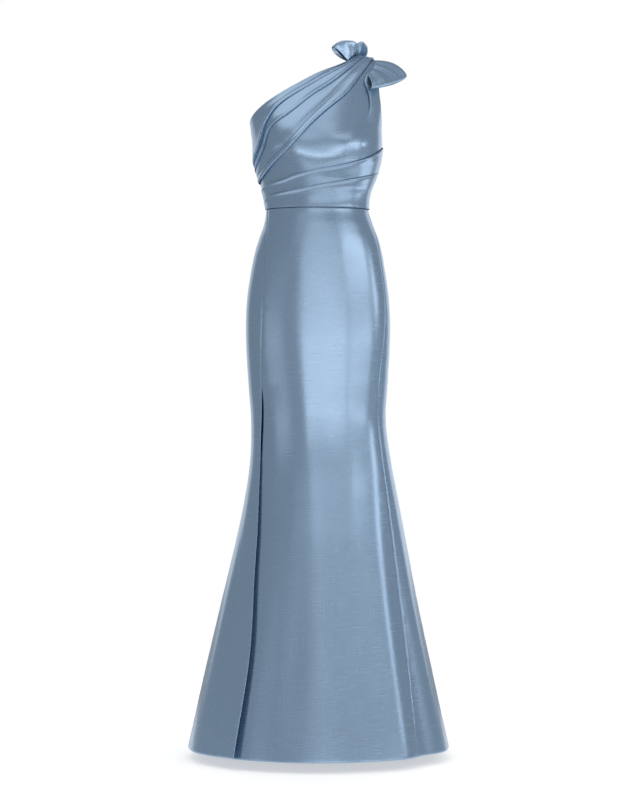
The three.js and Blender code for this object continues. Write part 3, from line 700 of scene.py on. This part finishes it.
def drape_section(v):
    """Angle, run and lift of every row of the section at stations v."""
    lines = {
        line: (
            read(DRAPE, DRAPE_COLUMNS, "at", line + "_angle", v),
            read(DRAPE, DRAPE_COLUMNS, "at", line + "_run", v),
        )
        for line in DRAPE_LINES
    }
    full = read(DRAPE, DRAPE_COLUMNS, "at", "full", v)
    pad = read(DRAPE, DRAPE_COLUMNS, "at", "pad", v)
    first_sharp = read(DRAPE, DRAPE_COLUMNS, "at", "first_sharp", v)
    sharp = read(DRAPE, DRAPE_COLUMNS, "at", "sharp", v)
    sharpness = {"first": first_sharp, "second": sharp, "third": sharp}
    rows = []
    for line, below, to_next, lift, crown in DRAPE_SECTION:
        i = DRAPE_LINES.index(line)
        other = DRAPE_LINES[i - 1 if below < 0 or line == "low" else i + 1]
        (angle, run), (other_angle, other_run) = lines[line], lines[other]
        gap = form_point(angle, run) - form_point(other_angle, other_run)
        width = np.linalg.norm(gap, axis=-1)
        toward = -1 if line == "low" and below > 0 else 1
        share = to_next + toward * np.minimum(abs(below) / width, LARGEST_SHARE)
        if line != "low" and below < 0:
            share = np.minimum(abs(below) / width, LARGEST_SHARE)
        folded = DRAPE_LOFT + (lift - DRAPE_LOFT) * sharpness.get(line, 1)
        rows.append((
            angle + (other_angle - angle) * share,
            run + (other_run - run) * share,
            LAYER_LIFT + folded * full + crown * pad,
        ))
    return [np.array(part) for part in zip(*rows)]


def smooth_rows(rows, steps):
    """Rows in between, on a smooth curve through the given ones."""
    count = len(rows)
    place = np.linspace(0, count - 1, (count - 1) * steps + 1)
    flat = rows.reshape(count, -1)
    i = np.clip(place.astype(int), 0, count - 2)
    t = (place - i)[:, None]
    slopes = np.gradient(flat, axis=0)
    hold = 2 * t**3 - 3 * t**2 + 1
    out = (
        hold * flat[i]
        + (1 - hold) * flat[i + 1]
        + (t**3 - 2 * t**2 + t) * slopes[i]
        + (t**3 - t**2) * slopes[i + 1]
    )
    return out.reshape((len(place),) + rows.shape[1:])


stations = np.concatenate(
    [[0]] + [np.linspace(start, end, count)[1:] for start, end, count in DRAPE_STATIONS]
)
angle, run, lift = drape_section(stations)
hold = caught(stations, SEAM_CATCH) * caught(DRAPE[-1][0] - stations, END_CATCH)
lift = (np.maximum(lift, LEAST_LIFT) + SEAM_SINK) * hold - SEAM_SINK
drape_points = smooth_rows(lifted_point(angle, run, lift), ROWS_BETWEEN)
drape = lay_cloth("pleated_drape", drape_points[:, ::-1], LAYER_THICKNESS, inwards=False)
wear(drape, "shoulder_drape")


# Armhole pleat: a long folded edge beside the left armhole, caught in the knot of
# the bow above and melting into the bodice below.
PLEAT_COLUMNS = ("run", "angle")
ARMHOLE_PLEAT = [
    (6, 54.3),
    (27, 51.5),
    (45, 46.5),
    (62, 42),
    (80, 40.5),
    (101, 44),
    (121, 46),
    (148, 47),
    (174, 45.5),
    (196, 41),
]
PLEAT_END_INNER, PLEAT_END_OUTER = 196, 214
PLEAT_FADE_START, PLEAT_FADE_END = 0.55, 0.98
PLEAT_SINK = 0.4
PLEAT_TOP = 0.07
PLEAT_SECTION_COLUMNS = ("across", "lift")
PLEAT_SECTION = [
    (0, 0.1),
    (0.03, 2.0),
    (0.08, 2.9),
    (0.18, 2.6),
    (0.3, 2.0),
    (0.55, 1.0),
    (0.78, 0.3),
    (1, 0),
]
PLEAT_EDGE = (0, 0.008, 0.018, 0.03)
PLEAT_INSIDE = 0.05
PLEAT_ACROSS, PLEAT_DOWN = 26, 90
across = np.concatenate([PLEAT_EDGE, np.linspace(PLEAT_INSIDE, 1, PLEAT_ACROSS)])[None, :]
along = np.linspace(0, 1, PLEAT_DOWN)[:, None]
end_run = PLEAT_END_INNER + (PLEAT_END_OUTER - PLEAT_END_INNER) * across
start_run = ARMHOLE_PLEAT[0][0]
run = start_run + (end_run - start_run) * along
inner = read(ARMHOLE_PLEAT, PLEAT_COLUMNS, "run", "angle", run)
arm = shifted(armhole_at(run), run, -SEAM_GAP / 2)
angle = inner + (arm - inner) * across
fold = read(PLEAT_SECTION, PLEAT_SECTION_COLUMNS, "across", "lift", across)
fade = caught(PLEAT_FADE_END - along, PLEAT_FADE_END - PLEAT_FADE_START)
fade = fade * caught(along, PLEAT_TOP)
lift = (LAYER_LIFT + fold + PLEAT_SINK) * fade - PLEAT_SINK
pleat = lay_cloth("armhole_fold", lifted_point(angle, run, lift), LAYER_THICKNESS)
wear(pleat, "armhole_pleat")


# Midriff bands: two folded strips that lap like a sash above the waist seam, each
# with a soft folded top edge that is caught down towards the side seams.
BAND_COLUMNS = ("angle", "run")
UPPER_BAND_EDGE = [
    (-90, 326),
    (-55, 313),
    (-34, 305),
    (-21, 296),
    (0, 285),
    (21, 276),
    (46, 259),
    (70, 237),
    (90, 226),
]
LOWER_BAND_EDGE = [
    (-90, 353),
    (-61, 339),
    (-35, 331),
    (-8, 322),
    (20, 311),
    (44, 300),
    (61, 292),
    (90, 282),
]
# Section of a band from under its folded top: distance below it, share of the way to
# its bottom and lift.
BAND_SECTION = [
    (1.6, 0, -1.5),
    (0.5, 0, -1.0),
    (0, 0, 0.2),
    (0.4, 0, 1.4),
    (1.6, 0, 2.3),
    (3.2, 0, 2.4),
    (5.5, 0, 1.7),
    (8, 0, 1.1),
    (8, 0.15, 0.8),
    (8, 0.3, 0.6),
    (8, 0.45, 0.5),
    (8, 0.65, 0.35),
    (8, 0.85, 0.15),
    (0, 0.995, 0),
    (0, 1, -0.5),
]
BAND_CATCH = 5
BAND_END_GAP = 0.1
BAND_END_COUNT, BAND_COUNT = 8, 180
BAND_SOFT_END = 22
BAND_LEAST_FOLD = 0.25
BAND_WAVES = [
    (16, 303, 12, 8, -10.0, -1.2),
    (42, 322, 16, 7, -18.0, -1.1),
    (-20, 330, 18, 8, -12.0, 0.8),
    (60, 262, 12, 8, -10.0, 0.8),
]


def midriff_band(top_table, bottom_at):
    """Points of one folded band between its top edge and the next one's."""
    end = np.linspace(BAND_END_GAP, BAND_CATCH, BAND_END_COUNT)
    inner = np.linspace(-SIDE_SEAM + BAND_CATCH, SIDE_SEAM - BAND_CATCH, BAND_COUNT)
    angle = np.concatenate([-SIDE_SEAM + end[:-1], inner, SIDE_SEAM - end[-2::-1]])
    top = read(top_table, BAND_COLUMNS, "angle", "run", angle)
    bottom = bottom_at(angle) - SEAM_GAP
    fold = np.clip((SIDE_SEAM - np.abs(angle)) / BAND_SOFT_END, BAND_LEAST_FOLD, 1)
    rows = []
    for below, to_bottom, lift in BAND_SECTION:
        run = top + below + (bottom - top - below) * to_bottom
        raised = LAYER_LIFT + lift * fold + soft_waves(angle, run, BAND_WAVES)
        hold = caught(SIDE_SEAM - np.abs(angle), BAND_CATCH)
        rows.append(lifted_point(angle, run, (raised + SEAM_SINK) * hold - SEAM_SINK))
    return smooth_rows(np.array(rows), ROWS_BETWEEN)


upper_band = lay_cloth(
    "upper_sash_band",
    midriff_band(
        UPPER_BAND_EDGE,
        lambda angle: read(LOWER_BAND_EDGE, BAND_COLUMNS, "angle", "run", angle),
    ),
    LAYER_THICKNESS,
)
wear(upper_band, "midriff_upper")
lower_band = lay_cloth(
    "lower_sash_band",
    midriff_band(LOWER_BAND_EDGE, lambda angle: np.full(len(angle), float(WAIST_RUN))),
    LAYER_THICKNESS,
)
wear(lower_band, "midriff_lower")


# Bow: two strips of the satin, each folded into an open loop and gathered into the
# knot under the drape's end.
LOOP_COLUMNS = ("at", "angle", "run", "lift", "x", "y", "z", "full", "bow")
UPPER_LOOP = [
    (0, 26, 20.5, 4.3, 31, -24, 26, 8, 0),
    (0.15, 27.3, 17, 4.3, 41, -25, 34, 10, 0),
    (0.3, 28.5, 13, 4.3, 54, -24, 39, 11, 1),
    (0.55, 30.6, 5, 4, 77, -20, 39, 9, 3),
    (0.68, 31.5, -3, 4, 87, -14, 35, 5, 4),
    (0.82, 32, -9, 5, 99, -8, 39, 7, 8),
    (1, 32, -15, 4.5, 109, 2, 31, 6, 12),
]
OUTER_LOOP = [
    (0, 44, 66, 6.2, 117, -64, -71, 9, 0),
    (0.25, 47, 54, 6.2, 143, -58, -66, 11, 0),
    (0.5, 50, 42, 5.9, 167, -50, -59, 11, 1),
    (0.75, 53, 30, 5.5, 187, -42, -50, 9, 3),
    (0.9, 54.2, 23, 5.1, 196, -37, -42, 7.5, 6),
    (1, 55, 18, 4.9, 194, -33, -35, 6, 9),
]
LOOP_BACK = 0.45
LOOP_ROOT = 0.3
LOOP_SWELL = 1.2
LOOP_SLANT = -0.95
LOOP_TRACE = 0.02
LOOP_ACROSS, LOOP_ROUND = 90, 97
GATHER_DRIFT = 0.06
GATHER_FADE = 0.6
GATHER_ROUND = 0.7


def loop_points(table, facing, gathers):
    """Points of one loop: columns along the strip, rows round the fold."""
    s = np.linspace(0, 1, LOOP_ACROSS)

    def column(name, at):
        return read(table, LOOP_COLUMNS, "at", name, at)

    def knot(at):
        return lifted_point(column("angle", at), column("run", at), column("lift", at))

    def fold(at):
        return np.stack([column(axis, at) for axis in "xyz"], -1)

    before = np.clip(s - LOOP_TRACE, 0, 1)
    after = np.clip(s + LOOP_TRACE, 0, 1)
    root = knot(s)
    reach = fold(s) - root
    along = knot(after) + fold(after) - knot(before) - fold(before)
    face = np.cross(reach, along)
    face = face / np.linalg.norm(face, axis=-1, keepdims=True)
    sideways = np.cross(face, reach)
    sideways = sideways / np.linalg.norm(sideways, axis=-1, keepdims=True)
    full = column("full", s)
    turn = np.linspace(0, 2 * np.pi, LOOP_ROUND)[:, None]
    out = 0.5 * (1 - np.cos(turn))
    half_turn = np.clip(np.sin(turn / 2), 0, 1)
    swell = LOOP_ROOT + (1 - LOOP_ROOT) * half_turn**LOOP_SWELL
    side = np.where(np.sin(turn) > 0, 1, LOOP_BACK)
    rise = np.sin(turn) * swell * full * side
    for across, width, size in gathers:
        middle = across + GATHER_DRIFT * (0.5 - across) * (1 - out)
        fold_line = size * np.exp(-(((s - middle) / width) ** 2))
        rise = rise + fold_line * (1 - out) ** GATHER_FADE * half_turn**GATHER_ROUND * side
    shift = LOOP_SLANT * rise + column("bow", s) * np.sin(np.pi * out)
    return (
        root
        + reach * out[..., None]
        + facing * face * rise[..., None]
        + sideways * shift[..., None]
    )


# Gathers of each loop: place along the strip, width and height.
UPPER_GATHERS = [
    (0.12, 0.05, -1.2),
    (0.3, 0.05, 1.2),
    (0.45, 0.04, -1.4),
    (0.8, 0.05, 1.2),
]
OUTER_GATHERS = [
    (0.15, 0.05, 1.0),
    (0.32, 0.05, -1.5),
    (0.5, 0.05, 1.4),
    (0.68, 0.05, -1.4),
    (0.85, 0.05, 1.0),
]
for name, node, table, facing, gathers, area in (
    ("bow_loop_upper", "bow_upper_loop", UPPER_LOOP, 1, UPPER_GATHERS, 0.0062),
    ("bow_loop_outer", "bow_outer_loop", OUTER_LOOP, -1, OUTER_GATHERS, 0.0092),
):
    points = loop_points(table, facing, gathers)
    if facing > 0:
        points = points[:, ::-1]
    bow_loop = lay_cloth(name, points, LAYER_THICKNESS)
    wear(bow_loop, node)


# Zip: a woven tape and its closed coils inside the centre-back seam, and an enamelled
# slider and pull tab at its top. The tape, slider and tab keep the solids' own shapes.
# One coil is modelled and copied down the tape's inner face.
TAPE_RUN = (92, 560)
TAPE_LIFT = -4.2
COIL_PITCH = 1.6
COIL_RADIUS = 1.6
COIL_THREAD = 0.35
COIL_FLATNESS = 0.3
COIL_TILT = 14

zip_cloth = bpy.data.materials.new("zip tape")
zip_cloth.use_nodes = True
nodes, links = zip_cloth.node_tree.nodes, zip_cloth.node_tree.links
face = nodes["Principled BSDF"]
face.inputs["Roughness"].default_value = 0.8
place = nodes.new("ShaderNodeTexCoord")
ribs = nodes.new("ShaderNodeTexWave")
ribs.bands_direction = "Z"
ribs.inputs["Scale"].default_value = 300
ribs.inputs["Distortion"].default_value = 1.5
links.new(place.outputs["Object"], ribs.inputs["Vector"])
# Tape colour: the dyed blue, painted darker in the grooves between the ribs as shade.
dye_and_groove_shade = nodes.new("ShaderNodeValToRGB")
dye_and_groove_shade.color_ramp.elements[0].color = (0.08, 0.13, 0.21, 1)
dye_and_groove_shade.color_ramp.elements[1].color = (0.12, 0.19, 0.29, 1)
links.new(ribs.outputs["Fac"], dye_and_groove_shade.inputs["Fac"])
links.new(dye_and_groove_shade.outputs["Color"], face.inputs["Base Color"])
grain = nodes.new("ShaderNodeBump")
grain.inputs["Strength"].default_value = 0.3
grain.inputs["Distance"].default_value = 0.0003
links.new(ribs.outputs["Fac"], grain.inputs["Height"])
links.new(grain.outputs["Normal"], face.inputs["Normal"])

zip_metal = bpy.data.materials.new("zip enamel")
zip_metal.use_nodes = True
nodes, links = zip_metal.node_tree.nodes, zip_metal.node_tree.links
enamel = nodes["Principled BSDF"]
enamel.inputs["Base Color"].default_value = (0.19, 0.3, 0.43, 1)
enamel.inputs["Coat Weight"].default_value = 0.4
place = nodes.new("ShaderNodeTexCoord")
wear_marks = nodes.new("ShaderNodeTexNoise")
wear_marks.inputs["Scale"].default_value = 900
wear_marks.inputs["Detail"].default_value = 3
links.new(place.outputs["Object"], wear_marks.inputs["Vector"])
polish = nodes.new("ShaderNodeMapRange")
polish.inputs["To Min"].default_value = 0.22
polish.inputs["To Max"].default_value = 0.4
links.new(wear_marks.outputs["Fac"], polish.inputs["Value"])
links.new(polish.outputs["Result"], enamel.inputs["Roughness"])

for node, material in (
    ("zip_tape", zip_cloth),
    ("zip_slider", zip_metal),
    ("zip_pull", zip_metal),
):
    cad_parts[node].material_slots[0].material = material

bpy.ops.object.select_all(action="DESELECT")
bpy.ops.mesh.primitive_torus_add(
    major_segments=10,
    minor_segments=5,
    major_radius=COIL_RADIUS * MM,
    minor_radius=COIL_THREAD * MM,
)
coil = bpy.context.object
coil.name = "zip_coils"
bpy.ops.object.mode_set(mode="EDIT")
bpy.ops.mesh.select_all(action="SELECT")
bpy.ops.transform.resize(value=(1, COIL_FLATNESS, 1))
bpy.ops.transform.rotate(
    value=math.radians(COIL_TILT), orient_axis="Y", center_override=(0, 0, 0)
)
bpy.ops.object.mode_set(mode="OBJECT")
coil_count = round((TAPE_RUN[1] - TAPE_RUN[0]) / COIL_PITCH)
coil_row = [coil]
for i in range(1, coil_count):
    twin = coil.copy()
    twin.data = coil.data.copy()
    bpy.context.scene.collection.objects.link(twin)
    coil_row.append(twin)
for i, one in enumerate(coil_row):
    run = TAPE_RUN[0] + i * COIL_PITCH
    spot = lifted_point(180, run, TAPE_LIFT - COIL_THREAD)
    slope = lifted_point(180, run + COIL_PITCH, TAPE_LIFT - COIL_THREAD) - spot
    one.location = Vector((spot + [BODY_AXIS, 0, STRAP_THICKNESS]) * MM)
    one.rotation_euler = (math.atan2(slope[1], -slope[2]), 0, 0)
    one.select_set(True)
bpy.context.view_layer.objects.active = coil
bpy.ops.object.join()
bpy.ops.object.transform_apply(location=True, rotation=True, scale=True)
bpy.ops.object.shade_smooth()
coil.data.materials.clear()
coil.data.materials.append(zip_cloth)
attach(coil, "dress")


# Studio: a round white floor, thirteen soft boxes before and beside the dress and two
# behind it. The thirteen are placed for the reflections that the satin shows in the
# photo. A box's brightness is that of its face, whatever its size.
FLOOR_RADIUS = 1.4
FLOOR_HEIGHT = -1.562
bpy.ops.object.select_all(action="DESELECT")
bpy.ops.mesh.primitive_circle_add(vertices=96, radius=FLOOR_RADIUS, fill_type="NGON")
floor = bpy.context.object
floor.name = "floor"
floor.location = (BODY_AXIS * MM, 0, FLOOR_HEIGHT)
paper = bpy.data.materials.new("paper")
paper.use_nodes = True
white = paper.node_tree.nodes["Principled BSDF"]
white.inputs["Base Color"].default_value = (0.9, 0.9, 0.9, 1)
white.inputs["Roughness"].default_value = 0.9
white.inputs["Emission Color"].default_value = (1, 1, 1, 1)
white.inputs["Emission Strength"].default_value = 0.5
floor.data.materials.append(paper)

# Name, azimuth, elevation, distance, height that it faces, width, tall, brightness.
LIGHTS = [
    ("front", 5, 0, 6.5, -0.42, 4.4, 0.7, 2.7),
    ("key", 46, 0, 6.5, -0.5, 4.8, 0.7, 2.1),
    ("hip_front", 5, 0, 2.8, 0.15, 1.8, 0.5, 0.7),
    ("hip_side", 46, 0, 2.8, 0.2, 2.0, 0.5, 1.9),
    ("waist", 50, 0, 3.0, 0.8, 1.6, 0.6, 0.5),
    ("low_front", 8, -25, 6.5, -0.3, 4.0, 1.4, 0.9),
    ("low_side", 50, -24, 6.5, -0.3, 4.6, 1.4, 1.1),
    ("low_back", 98, -22, 6.5, -0.3, 4.4, 1.8, 1.3),
    ("stripe", 78, 13, 6.0, -1.0, 0.9, 0.9, 3.0),
    ("top", -35, 62, 4.0, -0.2, 3.6, 2.4, 0.95),
    ("brow", 18, 36, 6.0, -0.2, 4.0, 1.4, 0.8),
    ("bust", -12, 18, 6.5, -0.1, 4.0, 1.0, 0.4),
    ("fill", -48, 0, 6.5, -0.5, 3.4, 0.8, 0.7),
    ("back_left", 150, 14, 4.5, -0.6, 3.4, 3.6, 0.8),
    ("back_right", -150, 14, 4.5, -0.6, 3.0, 3.6, 0.6),
]
for name, azimuth, elevation, away, height, width, tall, brightness in LIGHTS:
    light_data = bpy.data.lights.new(name, "AREA")
    light_data.shape = "RECTANGLE"
    light_data.size = width
    light_data.size_y = tall
    light_data.energy = brightness * math.pi * width * tall
    light = bpy.data.objects.new(name, light_data)
    middle = Vector((BODY_AXIS * MM, 0, height))
    turn, rise = math.radians(azimuth), math.radians(elevation)
    toward = Vector((
        math.sin(turn) * math.cos(rise),
        -math.cos(turn) * math.cos(rise),
        math.sin(rise),
    ))
    light.location = middle + away * toward
    light.rotation_euler = toward.to_track_quat("Z", "Y").to_euler()
    bpy.context.scene.collection.objects.link(light)

world = bpy.data.worlds.new("studio")
world.use_nodes = True
bpy.context.scene.world = world
sky, wires = world.node_tree.nodes, world.node_tree.links
seen = sky.new("ShaderNodeBackground")
seen.inputs["Color"].default_value = (1, 1, 1, 1)
lighting = sky["Background"]
lighting.inputs["Color"].default_value = (1, 1, 1, 1)
lighting.inputs["Strength"].default_value = 0.41
mix = sky.new("ShaderNodeMixShader")
path = sky.new("ShaderNodeLightPath")
wires.new(path.outputs["Is Camera Ray"], mix.inputs["Fac"])
wires.new(lighting.outputs["Background"], mix.inputs[1])
wires.new(seen.outputs["Background"], mix.inputs[2])
wires.new(mix.outputs["Shader"], sky["World Output"].inputs["Surface"])
